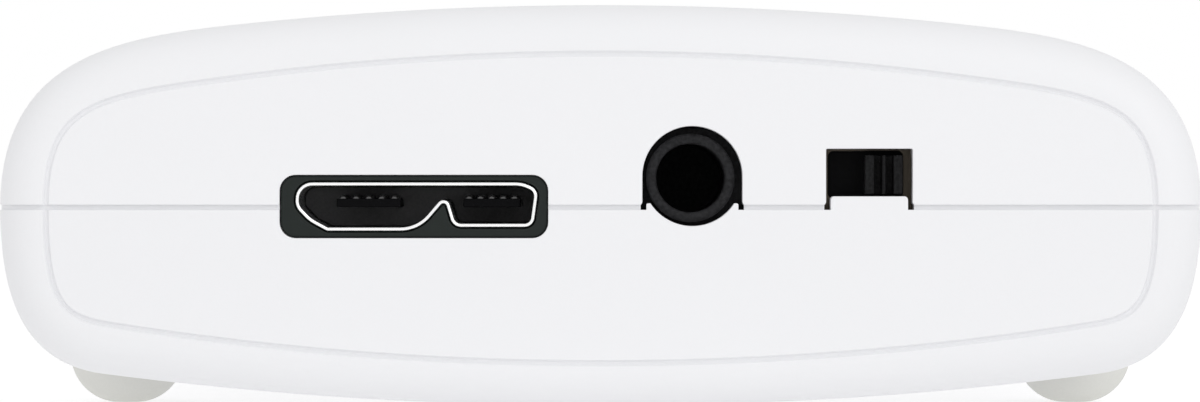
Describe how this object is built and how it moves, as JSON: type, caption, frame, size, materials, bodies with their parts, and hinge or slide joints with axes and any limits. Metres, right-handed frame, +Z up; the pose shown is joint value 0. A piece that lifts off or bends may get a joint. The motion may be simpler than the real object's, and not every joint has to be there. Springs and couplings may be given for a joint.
{
  "type": "video capture box",
  "caption": "Palm-size white video capture box with a rounded two-shell case, a USB socket, an audio jack and a slide switch at one end and a video socket at the other.",
  "frame": {"origin": "middle of the base, on the surface that the feet stand on", "axes": "+Z up through the crown, +Y from the end with the USB socket to the end with the video socket, +X to the right seen from the USB end"},
  "size_m": [0.0636, 0.098, 0.0216],
  "materials": {
    "upper_shell": "satin white",
    "lower_shell": "satin white",
    "feet": "soft warm white",
    "screw_steel": "zinc plated",
    "board": "green solder mask",
    "bezel": "dark grey, matt",
    "socket_metal": "bright tin plate",
    "black_plastic": "matt black",
    "gold": "gold plate",
    "jack_plastic": "satin black",
    "spring_brass": "spring brass",
    "switch_metal": "darkened steel",
    "phenolic": "brown laminate",
    "knob_plastic": "matt black",
    "white_insulator": "moulded white",
    "post_metal": "nickel plate",
    "chip": "moulded black",
    "pad": "soft blue grey",
    "sink_aluminium": "extruded",
    "can_metal": "drawn can",
    "ferrite": "moulded dark grey",
    "led": "clear resin",
    "clear_plastic": "frosted clear"
  },
  "bodies": {
    "case": {"upper_shell": "upper_shell", "lower_shell": "lower_shell", "rubber_feet": "feet", "case_screws": "screw_steel", "main_board": "board", "usb_bezel": "bezel", "usb_shell": "socket_metal", "usb_tongues": "black_plastic", "usb_contacts": "socket_metal", "jack_body": "jack_plastic", "jack_springs": "spring_brass", "switch_frame": "switch_metal", "switch_base": "phenolic", "switch_terminals": "spring_brass", "video_socket_shell": "socket_metal", "video_socket_insulator": "white_insulator", "video_socket_contacts": "gold", "jack_posts": "post_metal", "video_receiver_chip": "chip", "capture_processor": "chip", "thermal_pad": "pad", "heat_sink": "sink_aluminium", "memory_chips": "chip", "flash_chip": "chip", "usb_bridge_chip": "chip", "audio_chip": "chip", "crystal": "can_metal", "inductors": "ferrite", "capacitors": "can_metal", "status_led": "led", "light_pipe": "clear_plastic"},
    "slider": {"switch_knob": "knob_plastic", "switch_wiper": "spring_brass"}
  },
  "joints": [
    {"name": "switch_slide", "type": "slide", "parent": "case", "child": "slider", "axis": [-1, 0, 0], "range_m": [0, 0.0018]}
  ]
}
